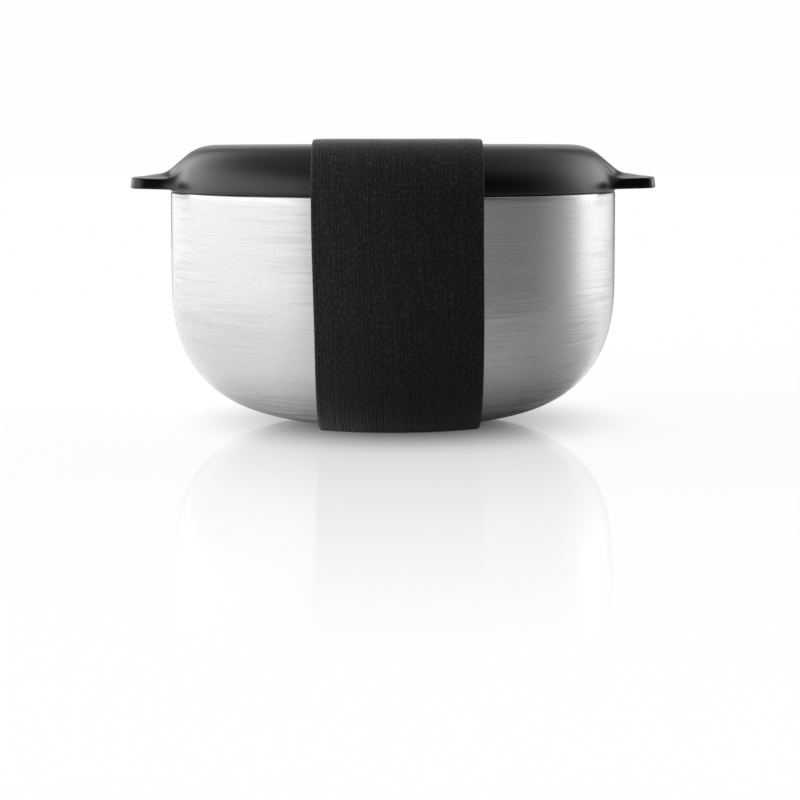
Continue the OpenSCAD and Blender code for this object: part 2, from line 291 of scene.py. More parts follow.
def brushed_steel(name, colour, line_mm, rough, streak):
    """Stainless steel, grade 304, ground with a belt while it turns: fine lines run level round the bowl, so
    that what it mirrors is drawn out up and down, and some lines are paler and duller than their neighbours.
    Real lines are about 0.05 mm wide, which is too fine to show, so they are drawn line_mm wide."""
    made, tree, output = material(name)
    place = add(tree, "ShaderNodeTexCoord").outputs["Object"]
    # Across the lines the pattern repeats at the line width, and along them it is drawn out 60 times
    fine = 1 / (line_mm * MM)
    stretch = add(tree, "ShaderNodeMapping", {"Vector": place, "Scale": (fine / 60, fine / 60, fine)})
    lines = add(tree, "ShaderNodeTexNoise", {"Vector": stretch.outputs[0], "Scale": 1.0, "Detail": 4.0,
                                             "Roughness": 0.7})
    # Bands five lines wide, whose lines were ground alike
    broad = add(tree, "ShaderNodeMapping", {"Vector": place, "Scale": (fine / 160, fine / 160, fine / 5)})
    bands = add(tree, "ShaderNodeTexNoise", {"Vector": broad.outputs[0], "Scale": 1.0, "Detail": 3.0,
                                             "Roughness": 0.6})
    both = add(tree, "ShaderNodeMix", {"Factor": 0.4, 2: lines.outputs["Fac"], 3: bands.outputs["Fac"]})
    # Most of the pattern lies between 0.36 and 0.64, and its highest parts are the dullest lines
    shade = add(tree, "ShaderNodeMapRange", {"Value": both.outputs[0], "From Min": 0.36, "From Max": 0.64,
                                             "To Min": 1 - streak, "To Max": 1.0})
    tone = add(tree, "ShaderNodeMix", {"Factor": 1.0, 6: colour, 7: shade.outputs[0]}, data_type="RGBA",
               blend_type="MULTIPLY")
    dull = add(tree, "ShaderNodeMapRange", {"Value": both.outputs[0], "From Min": 0.4, "From Max": 0.75,
                                            "To Min": rough * 0.6, "To Max": rough * 2.1})
    bump = add(tree, "ShaderNodeBump", {"Height": lines.outputs["Fac"], "Strength": 0.15,
                                        "Distance": line_mm * MM / 4})
    round_the_axis = add(tree, "ShaderNodeTangent", direction_type="RADIAL", axis="Z")
    shader = add(tree, "ShaderNodeBsdfPrincipled", {
        "Base Color": tone.outputs[2], "Metallic": 1.0, "Roughness": dull.outputs[0], "Anisotropic": 0.93,
        "Anisotropic Rotation": 0.25, "Tangent": round_the_axis.outputs[0], "Normal": bump.outputs[0]})
    tree.links.new(shader.outputs[0], output.inputs["Surface"])
    return made


def moulded_polypropylene(name, colour, grain_mm, rough):
    """Black polypropylene from a spark-eroded mould: an even, finely pebbled skin, which spreads lamps to
    soft, wide lights, with a slight unevenness in the gloss. Real pebbles are about 0.1 mm wide and are
    drawn coarser, so that they show."""
    made, tree, output = material(name)
    tone, bump = fine_grain(tree, colour, grain_mm, 2.0, (0.85, 1.15), strength=0.25, share=1 / 6)
    # The gloss changes from place to place, over about 9 mm
    place = add(tree, "ShaderNodeTexCoord").outputs["Object"]
    cloud = add(tree, "ShaderNodeTexNoise", {"Vector": place, "Scale": 1 / (9 * MM), "Detail": 2.0})
    dull = add(tree, "ShaderNodeMapRange", {"Value": cloud.outputs["Fac"], "To Min": rough - 0.04,
                                            "To Max": rough + 0.04})
    shader = add(tree, "ShaderNodeBsdfPrincipled", {
        "Base Color": tone, "Roughness": dull.outputs[0], "IOR": 1.49, "Normal": bump})
    tree.links.new(shader.outputs[0], output.inputs["Surface"])
    return made


def woven_elastic(name, colour, fleck_glint, rib_mm, yarn_mm):
    """Elastic webbing of rubber cords under polyester yarn: ribs along the band, crossed by short yarns whose
    glints are painted as specks of a lighter colour, with a soft fuzz at grazing angles. Real yarns are about
    0.3 mm wide and are drawn coarser, so that they show."""
    made, tree, output = material(name)
    flat = add(tree, "ShaderNodeUVMap", uv_map="flat").outputs[0]
    # Nearly two yarns lie side by side on each rib
    yarn_scale = (1.9 / (rib_mm * MM), 1 / (yarn_mm * MM), 1)
    yarns = add(tree, "ShaderNodeMapping", {"Vector": flat, "Scale": yarn_scale})
    speck = add(tree, "ShaderNodeTexNoise", {"Vector": yarns.outputs[0], "Scale": 1.0, "Detail": 3.0,
                                             "Roughness": 0.65})
    # A rib is darker or lighter than its neighbours for about 14 mm
    long = add(tree, "ShaderNodeMapping", {"Vector": flat, "Scale": (1 / (rib_mm * MM), 1 / (14 * MM), 1)})
    ribs = add(tree, "ShaderNodeTexNoise", {"Vector": long.outputs[0], "Scale": 1.0, "Detail": 2.0})
    # Painted glints: where the speck pattern is high, the lighter colour is mixed into the elastic's own
    light = add(tree, "ShaderNodeMapRange", {"Value": speck.outputs["Fac"], "From Min": 0.45,
                                             "From Max": 0.72, "To Min": 0.0, "To Max": 0.9})
    tone = add(tree, "ShaderNodeMix", {"Factor": light.outputs[0], 6: colour, 7: fleck_glint}, data_type="RGBA")
    shade = add(tree, "ShaderNodeMapRange", {"Value": ribs.outputs["Fac"], "From Min": 0.3, "From Max": 0.7,
                                             "To Min": 0.5, "To Max": 1.15})
    dyed_and_glinted = add(tree, "ShaderNodeMix", {"Factor": 1.0, 6: tone.outputs[2], 7: shade.outputs[0]},
               data_type="RGBA", blend_type="MULTIPLY")
    bump = add(tree, "ShaderNodeBump", {"Height": speck.outputs["Fac"], "Strength": 0.8,
                                        "Distance": 0.2 * MM})
    shader = add(tree, "ShaderNodeBsdfPrincipled", {
        "Base Color": dyed_and_glinted.outputs[2], "Roughness": 0.85, "Sheen Weight": 0.9, "Sheen Roughness": 0.4,
        "Sheen Tint": linear("#d0d0d0"), "Normal": bump.outputs[0]})
    tree.links.new(shader.outputs[0], output.inputs["Surface"])
    return made


def plain_material(name, code, rough, metal=0.0, grain_mm=1.0, depth=0.3):
    """A part that hardly shows, with the fine grain that its making leaves: rolled foil, sintered metal,
    moulded foam, silicone or thread."""
    made, tree, output = material(name)
    tone, bump = fine_grain(tree, linear(code), grain_mm, 3.0, (0.8, 1.1), strength=depth, share=1 / 8)
    shader = add(tree, "ShaderNodeBsdfPrincipled", {
        "Base Color": tone, "Roughness": rough, "Metallic": metal, "Normal": bump})
    tree.links.new(shader.outputs[0], output.inputs["Surface"])
    return made


def dress(node, made):
    """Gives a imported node's own object another material."""
    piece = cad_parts[node]
    piece.data.materials.clear()
    piece.data.materials.append(made)


def place_piece(piece, made, body, node):
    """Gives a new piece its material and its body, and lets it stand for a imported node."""
    piece.data.materials.append(made)
    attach(piece, body)
    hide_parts(node)


class BOWL_OT_walls(bpy.types.Operator):
    """Make the two steel walls and the cap in the base, and colour what lies between the walls"""

    bl_idname = "bowl.walls"
    bl_label = "Steel walls"

    def execute(self, context):
        bowl = context.scene.steel_bowl
        t = bowl.sheet
        steel = brushed_steel("brushed_stainless", bowl.steel, line_mm=0.32, rough=0.27, streak=0.07)
        satin = brushed_steel("spun_stainless", bowl.steel, line_mm=0.25, rough=0.32, streak=0.10)
        floor = BASE_Z + bowl.recess_h
        under_hem = [(BOWL_R - t, RIM_Z - 2 * t), (BOWL_R - 2 * t, RIM_Z - 2 * t)]
        hem = arc((BOWL_R - t, RIM_Z - t), t, 180, 0, 13)
        upright_z = np.linspace(RIM_Z - t, RIM_Z - bowl.upright, 14)[1:-1]
        upright = np.stack([0 * upright_z + BOWL_R, upright_z], axis=-1)
        recess = [
            (bowl.recess_r, BASE_Z), (bowl.recess_r, floor), (bowl.port_r, floor), (bowl.port_r, floor + t),
            (bowl.recess_r + t, floor + t), (bowl.recess_r + t, BASE_Z + t)]
        outer = join_path(
            under_hem, hem, upright, wall_curve(bowl, 0, 0, OUTER_POWERS), recess,
            wall_curve(bowl, -t, -t, OUTER_POWERS)[::-1], upright[::-1] - (t, 0))
        piece = revolve("bowl_outer_wall", outer, bowl.steps)
        place_piece(piece, steel, "bowl", "outer_shell")

        depth = np.linspace(0, 1, 16)
        neck_r = BOWL_R - 2 * t - bowl.wall_gap * ease(depth)
        neck = np.stack([neck_r, RIM_Z - bowl.land - bowl.shoulder * depth], axis=-1)
        grow_r, grow_z = -(t + bowl.wall_gap), -(t + bowl.base_gap)
        inner = join_path(
            [(0, BASE_Z - grow_z)], wall_curve(bowl, grow_r, grow_z, INNER_POWERS)[::-1],
            neck[::-1] + (t, 0), under_hem, neck,
            wall_curve(bowl, grow_r - t, grow_z - t, INNER_POWERS), [(0, BASE_Z - grow_z + t)])
        piece = revolve("bowl_inner_wall", inner, bowl.steps, closed=False)
        place_piece(piece, satin, "bowl", "inner_liner")

        cap_r, cap_low, cap_high = CAP_HIGH[0], CAP_LOW[2], CAP_HIGH[2]
        cap = join_path(
            [(0, cap_low)], arc((cap_r - t, cap_low + t), t, -90, 0, 8), [(cap_r, cap_high)],
            [(cap_r - t, cap_high), (cap_r - t, cap_low + t), (0, cap_low + t)])
        piece = revolve("base_cap_disc", cap, bowl.steps // 2, closed=False)
        place_piece(piece, satin, "bowl", "base_cap")

        dress("heat_foil", plain_material("rolled_aluminium_foil", "#d5d5d8", rough=0.25, metal=1.0,
                                          grain_mm=2.0, depth=0.5))
        dress("getter_cup", plain_material("spot_welded_steel", "#8c8c8e", rough=0.4, metal=1.0))
        dress("getter_pellet", plain_material("sintered_getter", "#5b5b5c", rough=0.8, metal=0.6,
                                              grain_mm=0.3))
        dress("port_seal", plain_material("fused_sealing_glass", "#707478", rough=0.2, grain_mm=0.8))
        return {"FINISHED"}


# The dome's shoulder is a little fuller than a quarter circle
DOME_POWER = 2.12
# Where there is no ear, the outline runs on this far inside the dome's foot, so many degrees past the root
HIDDEN = 1.5 * MM
HIDDEN_FROM = 0.6


def quarter_outline(lid):
    """A quarter of the lid's outline from above, from the middle of an ear's end to the middle of the
    lid's side. It is an arc round the axis, a round corner, the ear's straight side, a hollow corner that
    runs into the lid's round, and then a line hidden in the lid. Returns points, outward normals and the
    share of the way along the hollow corner."""
    skirt = BOWL_R - lid.lip_out
    half = lid.ear_w / 2
    cy = half - lid.corner
    cx = math.sqrt((EAR_X - lid.corner) ** 2 - cy ** 2)
    turn = math.degrees(math.atan2(cy, cx))
    ry = half + lid.root
    rx = math.sqrt((skirt + lid.root) ** 2 - ry ** 2)
    last = math.degrees(math.atan2(ry, rx))
    end = arc((0, 0), EAR_X, 0, turn, 14)
    corner = arc((cx, cy), lid.corner, turn, 90, 14)[1:]
    side_x = np.linspace(cx, rx, 10)[1:]
    side = np.stack([side_x, 0 * side_x + half], axis=-1)
    hollow = arc((rx, ry), lid.root, -90, last - 180, 30)[1:]
    rest = arc((0, 0), skirt - HIDDEN, last + HIDDEN_FROM, 90, 76)
    points = np.vstack([end, corner, side, hollow, rest])
    normals = np.vstack([
        end / EAR_X, (corner - (cx, cy)) / lid.corner, 0 * side + (0, 1), ((rx, ry) - hollow) / lid.root,
        rest / (skirt - HIDDEN)])
    before = len(end) + len(corner) + len(side)
    share = np.concatenate([
        np.zeros(before), np.linspace(0, 1, len(hollow) + 1)[1:], np.ones(len(rest))])
    return points, normals, share


def mirrored(values, x, y):
    """A quarter's rows carried on to the full round: the second quarter is the first one in reverse, and the
    second half repeats that. The signs x and y turn the values into their own quarter."""
    back = values[::-1]
    return np.vstack([values, back[1:] * (x, 1), values[1:] * (x, y), back[1:-1] * (1, y)])


# The slope from dome to ear is whole up to the first angle from the ear's middle and gone at the second
SLOPE_WHOLE = 6.0
SLOPE_GONE = 22.0
# An ear thickens over this way from its edge inwards
CROWN_REACH = 11 * MM
# Size of the hollow between slope and ear, and the way out from the dome over which it reaches that size
HOLLOW = 1.6 * MM
HOLLOW_REACH = 3 * MM
# How much rounder the ear's upper edge gets towards the root
ROOT_EDGE = 2 * MM
# How far an ear's side leans out on its way down, and the radius of its lower edge
DRAFT = 0.3 * MM
LOWER_EDGE = 0.4 * MM
LIP_BEVEL = 0.12 * MM


def lid_surface(lid):
    """Points of the lid's cover, one closed section for each place on its outline. The section runs from
    the middle of the flat top over the round shoulder. Inside an ear's outline it goes on as a height over
    the plan: the higher of the slope that leaves the dome and of the ear's slightly falling top, with a
    small hollow between them. Then it goes round the ear's edge, back under it to the skirt and the lip,
    and up the inside. Where there is no ear, that part is pushed out onto the dome, so that the ears grow
    out of it."""
    skirt = BOWL_R - lid.lip_out
    middle_r, middle_z = skirt - lid.shoulder, LID_Z - lid.shoulder
    under = RIM_Z + lid.ear_lift
    top = under + lid.ear_t
    quarter, normal, share = quarter_outline(lid)
    plan = mirrored(quarter, -1, -1)
    normal = mirrored(normal, -1, -1)
    share = mirrored(np.stack([share, share], axis=-1), 1, 1)[:, :1]
    px, py, nx, ny = plan[:, :1], plan[:, 1:], normal[:, :1], normal[:, 1:]
    wx, wy = px / np.hypot(px, py), py / np.hypot(px, py)
    parts = []

    def round_off(t):
        """The rise of the shoulder at a distance t from its centre: a slightly full quarter circle."""
        return lid.shoulder * (1 - (t / lid.shoulder).clip(0, 1) ** DOME_POWER) ** (1 / DOME_POWER)

    def dome_z(r):
        """Height of the dome at a radius."""
        return middle_z + round_off(r - middle_r)

    def push_out(x, y, z):
        """Moves points that lie inside the dome out to it."""
        dome_r = middle_r + round_off(z - middle_z)
        grow = np.maximum(1, dome_r / np.maximum(np.hypot(x, y), MM))
        return x * grow, y * grow, z

    leave_r = middle_r + lid.shoulder * math.sin(lid.slope)
    leave_z = float(dome_z(np.array(leave_r)))
    steep = ((leave_r - middle_r) / (leave_z - middle_z)) ** (DOME_POWER - 1)

    def height(x, y, soft):
        """Height of the cover's top over the plan, with a hollow of size soft between dome and ear."""
        r = np.hypot(x, y)
        aside = np.degrees(np.arctan2(np.abs(y), np.abs(x)))
        falling = leave_z - (r - leave_r) * steep
        dome = dome_z(r)
        fade = ease((aside - SLOPE_WHOLE) / (SLOPE_GONE - SLOPE_WHOLE))
        first = dome + (falling - dome).clip(0) * (1 - fade)
        # The ear's crown comes up from its sides, nearly up to its middle, and from its edge inwards
        flank = ease((lid.ear_w / 2 - np.abs(y)) / (lid.ear_w / 2.4))
        inward = ((EAR_X - lid.edge - r) / CROWN_REACH).clip(0, 1.1)
        second = top + lid.crown * (0.4 * inward + 0.6 * ease(inward)) * flank
        meet = (1 - np.abs(first - second) / np.maximum(soft, TINY)).clip(0)
        return np.maximum(first, second) + meet ** 2 * soft / 4

    def add_rows(x, y, z):
        """The next points of each section."""
        parts.append(np.stack(np.broadcast_arrays(x, y, z), axis=-1))

    def add_round(r, z):
        """The next points, which are the same in each section: radii and heights."""
        add_rows(wx * r, wy * r, z)

    def add_rim(out, z):
        """The next points, which lie this far out from the outline, or on the dome where that is further."""
        add_rows(*push_out(px + nx * out, py + ny * out, z))

    # The flat top and the shoulder, up to where the slope leaves it
    bend = arc((middle_r, middle_z), lid.shoulder, 90, 90 - math.degrees(lid.slope), 16)
    r = np.concatenate([np.linspace(0, middle_r, 12)[:-1], bend[:, 0]])
    add_round(r, dome_z(r))
    # The slope and the ear's top, up to the rounding of its edge
    edge = lid.edge + ROOT_EDGE * ease(share)
    ex, ey, _ = push_out(px - nx * edge, py - ny * edge, top + 0 * edge)
    t = np.linspace(0, 1, 30)[1:]
    x, y = wx * leave_r + (ex - wx * leave_r) * t, wy * leave_r + (ey - wy * leave_r) * t
    over = ((np.hypot(ex, ey) - skirt) / HOLLOW_REACH).clip(0, 1)
    add_rows(x, y, height(x, y, HOLLOW * over))
    # The ear's upper edge, its side and its lower edge
    a = np.linspace(0, np.pi / 2, 7)[1:]
    add_rim(edge * (np.sin(a) - 1), top + edge * (np.cos(a) - 1))
    drop = np.linspace(0, 1, 5)[1:]
    add_rim(DRAFT * drop, (top - edge) + (under + LOWER_EDGE - top + edge) * drop)
    add_rim(DRAFT + LOWER_EDGE * (np.cos(a) - 1), under + LOWER_EDGE * (1 - np.sin(a)))
    # Its underside, back to the skirt
    last_x, last_y = parts[-1][:, -1:, 0], parts[-1][:, -1:, 1]
    t = np.linspace(0, 1, 8)[1:]
    add_rows(last_x + (wx * skirt - last_x) * t, last_y + (wy * skirt - last_y) * t, under)
    # The lip, the foot of the wall and the inside
    lip_z = SEAT_Z + lid.lip_h
    inside = join_path(
        [(skirt, lip_z), (BOWL_R - LIP_BEVEL, lip_z), (BOWL_R, lip_z - LIP_BEVEL),
         (BOWL_R, SEAT_Z + LIP_BEVEL), (BOWL_R - LIP_BEVEL, SEAT_Z), (skirt - lid.wall, SEAT_Z)],
        arc((middle_r, middle_z), lid.shoulder - lid.wall, 0, 90, 14), [(0, LID_Z - lid.wall)])
    add_round(inside[:, 0], inside[:, 1])
    points = np.hstack(parts)
    beyond = ((np.hypot(points[..., 0], points[..., 1]) - skirt) / (EAR_X - skirt)).clip(0)
    points[..., 2] += lid.tip * beyond
    return soften_roots(points, skirt, under, top)


# Where an ear's sides meet the dome, in degrees from its middle, and how widely and often that is softened
ROOT_AT = 19.0
ROOT_SOFT = 9 * MM
ROOT_ROUNDS = 150
# The softening starts this far above the ear's underside, and is whole after this way up
SOFT_START = 0.6 * MM
SOFT_WAY = 1.5 * MM


def soften_roots(points, skirt, under, top):
    """Softens the corners where the ears' sides run into the dome: each point near them moves towards the
    middle of its neighbours, many times over. Differences in height count half."""
    at = math.radians(ROOT_AT)
    apart = np.abs(points[..., :2]) - np.array([math.cos(at), math.sin(at)]) * skirt
    far = np.sqrt((apart ** 2).sum(axis=-1) + (0.5 * (points[..., 2] - top)) ** 2)
    near = ease(1 - far / ROOT_SOFT) * ease((points[..., 2] - under - SOFT_START) / SOFT_WAY)
    near = near[..., None]
    for _ in range(ROOT_ROUNDS):
        around = (np.roll(points, 1, axis=0) + np.roll(points, -1, axis=0)) / 2
        along = points.copy()
        along[:, 1:-1] = (points[:, 2:] + points[:, :-2]) / 2
        points = points + near * ((around + along) / 2 - points) / 2
    return points


class BOWL_OT_lid(bpy.types.Operator):
    """Make the moulded lid with its ears, and colour its liner, its foam and its gasket"""

    bl_idname = "bowl.lid"
    bl_label = "Lid"

    def execute(self, context):
        lid = context.scene.bowl_lid
        black = moulded_polypropylene("matt_black_polypropylene", lid.plastic, grain_mm=0.35, rough=0.33)
        piece = surface("lid_dome", lid_surface(lid), True, False, sharp=50)
        place_piece(piece, black, "lid", "lid_cover")
        dress("lid_liner", black)
        dress("lid_foam", plain_material("expanded_polystyrene", "#eeeee6", rough=0.9, grain_mm=2.5))
        dress("lid_gasket", plain_material("grey_silicone", "#8a8a8c", rough=0.5, grain_mm=0.6))
        return {"FINISHED"}


def loop_section(bowl, lid):
    """Half of the line that the band follows, from the middle of the lid's top, down one side, to the
    middle of the base. It is returned as four rows, r0, r1, z0 and z1. Moved out by g, a point has the
    radius r0 + g r1 and the height z0 + g z1."""
    flat_r = BOWL_R - lid.shoulder
    bend_z = LID_Z - lid.shoulder
    high = RIM_Z - bowl.upright
    top = np.linspace(0, flat_r, 20)[:-1]
    bend = np.linspace(np.pi / 2, 0, 18)
    wall = np.linspace(bend_z, high, 20)[1:-1]
    a = np.linspace(0, np.pi / 2, 52)
    cos = np.cos(a).clip(0) ** (2 / OUTER_POWERS[0])
    sin = np.sin(a) ** (2 / OUTER_POWERS[1])
    base = np.linspace(bowl.base_r, 0, 10)[1:]
    bend_r = lid.shoulder * np.cos(bend).clip(0) ** (2 / DOME_POWER)
    bend_up = lid.shoulder * np.sin(bend) ** (2 / DOME_POWER)
    side_r = bowl.base_r + (BOWL_R - bowl.base_r) * cos
    side_z = high - (high - BASE_Z) * sin
    r0 = np.concatenate([top, flat_r + bend_r, 0 * wall + BOWL_R, side_r, base])
    r1 = np.concatenate([0 * top, np.cos(bend), 0 * wall + 1, cos, 0 * base])
    z0 = np.concatenate([0 * top + LID_Z, bend_z + bend_up, wall, side_z, 0 * base + BASE_Z])
    z1 = np.concatenate([0 * top + 1, np.sin(bend), 0 * wall, -sin, 0 * base - 1])
    return np.stack([r0, r1, z0, z1])


# Inside this radius the band counts as near the axis
NEAR_AXIS = 42 * MM


def wrap(section, side, x, out):
    """Points of the band: for each place on the loop and each place across the band, the point that lies
    on the round outline of bowl and lid, moved out by out. Where the outline is wide, y is the root of r
    squared less x squared. Near the axis, on the flat top and the base, y shrinks in proportion, and z is
    read from the outline."""
    r0, r1, z0, z1 = section[..., None]
    r = r0 + out * r1
    z = z0 + out * z1
    wide = np.sqrt((r ** 2 - x ** 2).clip(0))
    near = r * np.sqrt(NEAR_AXIS ** 2 - x ** 2) / NEAR_AXIS
    y = np.where(r > NEAR_AXIS, wide, near)
    # The outline of base and lower side, from the middle of the base outwards
    low = z1 < -0.5
    base_r, base_z = r0[low][::-1], z0[low][::-1]
    base_lift = np.interp(np.hypot(x, y), base_r, base_z) - np.interp(r, base_r, base_z)
    z = z + np.where((r <= NEAR_AXIS) & (z1 < 0), base_lift, 0)
    return np.stack([x + 0 * r, side[:, None] * y, z], axis=-1)


# The strip's end begins to rise onto its own start this far under the lap, and takes this way up for it
RISE_BEFORE = 5 * MM
RISE_WAY = 4 * MM


def band_path(bowl, lid, band):
    """The strip's way round: it starts at the lap's lower end on the back, climbs the back, crosses the lid,
    comes down the front, runs under the base, and climbs the back again over its own start, lifted by one
    thickness."""
    half = loop_section(bowl, lid)
    climb = half[:, ::-1]
    low = BASE_Z + band.lap_low
    high = BASE_Z + band.lap_high
    first = climb[:, climb[2] >= low - TINY]
    last = climb[:, climb[2] <= high + TINY][:, 1:]
    section = np.hstack([first, half[:, 1:], last])
    side = np.concatenate([np.ones(first.shape[1]), -np.ones(half.shape[1] - 1), np.ones(last.shape[1])])
    rise = (last[2] - (low - RISE_BEFORE)) / RISE_WAY
    lift = np.zeros(section.shape[1])
    lift[-len(rise):] = band.thick * ease(rise)
    return section, side, lift


# The seams of the lap, as shares of its height
STITCH_ROW_SHARES = (0.14, 0.38, 0.62, 0.86)
# Points on the thread for each step, and the share of a step in which it rises or dips
STITCH_POINTS = 24
STITCH_TURN = 0.06
# How deep the thread's middle dips into the band, and its rise from there, as shares of its thickness
THREAD_DIP = 0.35
THREAD_RISE = 0.55
# The thread is pressed flat to this share of its thickness. Both of its ends taper along the foot of a half
# wave, up to this share of the wave's height
THREAD_FLAT = 0.7
THREAD_TAPER = 0.1


def stitch_row(name, section, side, lift, band, height, width):
    """A lockstitch seam across the lap: one thread that lies on the band for the length of a stitch and dips
    into it between the stitches. Round the thread, the points lie on an oval across its way."""
    # The nearest place at which the strip lies on its own start
    upper = np.nonzero(lift > 0.9 * band.thick)[0]
    k = upper[np.argmin(np.abs(section[2, upper] - BASE_Z - height))]
    count = int(width / band.step) - 1
    across = np.linspace(-0.5, 0.5, STITCH_POINTS * count + 1) * count * band.step
    phase = across / band.step - np.floor(across / band.step)
    up = ease((0.5 * band.stitch / band.step - np.abs(phase - 0.5)) / STITCH_TURN + 0.5)
    out = (band.gap + 2 * band.thick + band.thread * (THREAD_RISE * up - THREAD_DIP))[None, :]
    x = (across + band.aside + band.lean)[None, :]
    middle = wrap(section, side, x, out)[k]
    outward = wrap(section, side, x, out + 1 * MM)[k] - middle
    outward /= np.linalg.norm(outward, axis=1)[:, None]
    beside = np.cross(np.gradient(middle, axis=0), outward)
    beside /= np.linalg.norm(beside, axis=1)[:, None]
    a = np.linspace(0, 2 * np.pi, 10, endpoint=False)[None, :, None]
    ends = (np.sin(np.linspace(0, np.pi, len(across))) / THREAD_TAPER).clip(0, 1)
    oval = np.cos(a) * beside[:, None, :] + THREAD_FLAT * np.sin(a) * outward[:, None, :]
    points = middle[:, None, :] + band.thread / 2 * ends[:, None, None] * oval
    return surface(name, points, False, True, sharp=80)


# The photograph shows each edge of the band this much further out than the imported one
EDGE_OUT = 0.2 * MM
# Share of the half width over which an edge is rounded off, and how near that comes to a full quarter
EDGE_SHARE = 0.015
EDGE_ROUND = 0.9
# The band starts to lean this far under the rim, and its whole lean is reached after this way down
LEAN_START = 1.4 * MM
LEAN_WAY = 48 * MM
# Seed of the ribs' own depths
RIB_SEED = 7


def webbing_faces(band, across):
    """Distances of the strip's two faces from what it goes round, at places across it from -1 to 1: the
    outer face with its ribs, and the plain inner face. Each rib is a cosine wave with its own depth, as in
    woven cords, and the strip's two edges are rounded off."""
    depths = np.random.default_rng(RIB_SEED).uniform(0.5, 1.5, band.ribs + 1)
    deep = depths[((across + 1) * band.ribs / 2).astype(int)]
    rib = band.rib * deep * (0.5 - 0.5 * np.cos(np.pi * across * band.ribs))
    past = (np.abs(across) - (1 - EDGE_SHARE)).clip(0) / EDGE_SHARE
    rounded = 0.5 * band.thick * (1 - np.sqrt(1 - past ** 2 * EDGE_ROUND))
    return band.gap + band.thick - rib - rounded, band.gap + rounded


class BOWL_OT_band(bpy.types.Operator):
    """Make the elastic band and the stitches of its lap"""

    bl_idname = "bowl.band"
    bl_label = "Elastic band"

    def execute(self, context):
        scene = context.scene
        bowl, lid, band = scene.steel_bowl, scene.bowl_lid, scene.bowl_band
        width = BAND_HIGH[0] - BAND_LOW[0] + 2 * EDGE_OUT
        section, side, lift = band_path(bowl, lid, band)
        columns = 4 * band.ribs + 1
        across = np.linspace(-1, 1, columns)
        outer, inner = webbing_faces(band, across)
        x = np.concatenate([across, across[::-1]])[None, :] * width / 2
        out = np.concatenate([outer, inner[::-1]])[None, :] + lift[:, None]
        down = ease((RIM_Z - LEAN_START - section[2]) / LEAN_WAY)[:, None]
        shifted = x * (1 + band.spread * (1 - down)) + band.aside + band.lean * down
        points = wrap(section, side, shifted, out)
        steps = np.linalg.norm(np.diff(points[:, columns // 2], axis=0), axis=1)
        length = np.concatenate([[0], np.cumsum(steps)])
        uv = np.stack([x + 0 * out, length[:, None] + 0 * out], axis=-1)
        piece = surface("elastic_webbing", points, False, True, uv=uv, caps=True, sharp=60)
        weave = woven_elastic("black_woven_elastic", band.elastic, band.fleck_glint,
                              rib_mm=width / MM / band.ribs, yarn_mm=1.1)
        piece.data.materials.append(weave)
        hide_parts("elastic_band")
        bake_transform(piece)
        yarn = plain_material("polyester_thread", "#1c1c1c", rough=0.7, grain_mm=0.3, depth=0.6)
        for k, share in enumerate(STITCH_ROW_SHARES):
            height = band.lap_low + share * (band.lap_high - band.lap_low)
            row = stitch_row(f"lap_stitches_{k}", section, side, lift, band, height, width)
            place_piece(row, yarn, "band", "band_stitching")
        return {"FINISHED"}


class BOWL_OT_stage(bpy.types.Operator):
    """Make the floor, the world and the camera"""

    bl_idname = "bowl.stage"
    bl_label = "Stage"

    def execute(self, context):
        make_floor()
        make_world()
        make_camera()
        context.scene.view_settings.view_transform = "Standard"
        return {"FINISHED"}


def ramp_round(tree, x, y, levels):
    """A level for each direction round the bowl, from a table of degrees and levels."""
    forward = add(tree, "ShaderNodeMath", {0: y, 1: -1.0}, operation="MULTIPLY")
    turn = add(tree, "ShaderNodeMath", {0: x, 1: forward.outputs[0]}, operation="ARCTAN2")
    place = add(tree, "ShaderNodeMapRange", {"Value": turn.outputs[0], "From Min": -math.pi,
                                             "From Max": math.pi})
    ramp = add(tree, "ShaderNodeValToRGB", {0: place.outputs[0]})
    stops = ramp.color_ramp.elements
    stops[0].position, stops[1].position = 0, 1
    for degrees, level in levels:
        at = (degrees + 180) / 360
        stop = stops[0] if at == 0 else stops[-1] if at == 1 else stops.new(at)
        stop.color = (level, level, level, 1)
    return ramp.outputs[0]


# Radiance of the studio round the bowl at eye level, as a share of its strength: degrees from the camera's
# side, with the right positive, and the share
STUDIO_LEVELS = [
    (-180, 0.4), (-168, 0.4), (-166, 0.01), (-161, 0.01), (-158, 0.78), (-66, 0.78), (-50, 0.68), (-36, 0.2),
    (-15, 0.01), (78, 0.01), (98, 0.17), (105, 0.33), (110, 0.62), (116, 0.88), (136, 0.85), (147, 0.62),
    (157, 0.36), (159, 0.01), (166, 0.01), (168, 0.4), (180, 0.4)]
# The table's painted glow in what the bowl mirrors, by the same angles: emitted light that only reflections
# see
TABLE_LEVELS = [
    (-180, 0.4), (-178, 0.04), (-164, 0.04), (-158, 0.85), (-70, 0.85), (-45, 0.86), (-28, 0.68),
    (-12, 0.22), (0, 0.06), (20, 0.14), (34, 0.29), (46, 0.28), (56, 0.24), (76, 0.27), (88, 0.33),
    (97, 0.42), (104, 0.5), (111, 0.7), (122, 0.82), (143, 0.64), (157, 0.38), (160, 0.03), (178, 0.03),
    (180, 0.4)]
STUDIO_STRENGTH = 2.5
# Share of the strength straight behind the bowl and low down. That patch ends between the two cosines of the
# angle from straight behind, and between the two heights of a direction, where 1 is straight up
STUDIO_BACK = 0.4
BACK_SIDES = (0.9715, 0.977)
BACK_TOP = (0.22, 0.32)
# The studio's walls grow dark between these heights
WALLS_TOP = (0.3, 0.7)
# Radiance of the light above, and the heights between which it comes up
STUDIO_TOP = 0.42
ABOVE_START = (0.4, 0.65)
# On the camera's side, where a direction's y is -1, black cloth leaves this share of the light above, and
# its edge lies between these two values of y
CLOTH_LEVEL = 0.05
CLOTH_EDGE = (-0.6, -0.2)

# Half the side of the table, in metres, and how far its top lies under the part
FLOOR_HALF = 4.0
FLOOR_DROP = 0.05 * MM
FLOOR_ALBEDO = 0.3
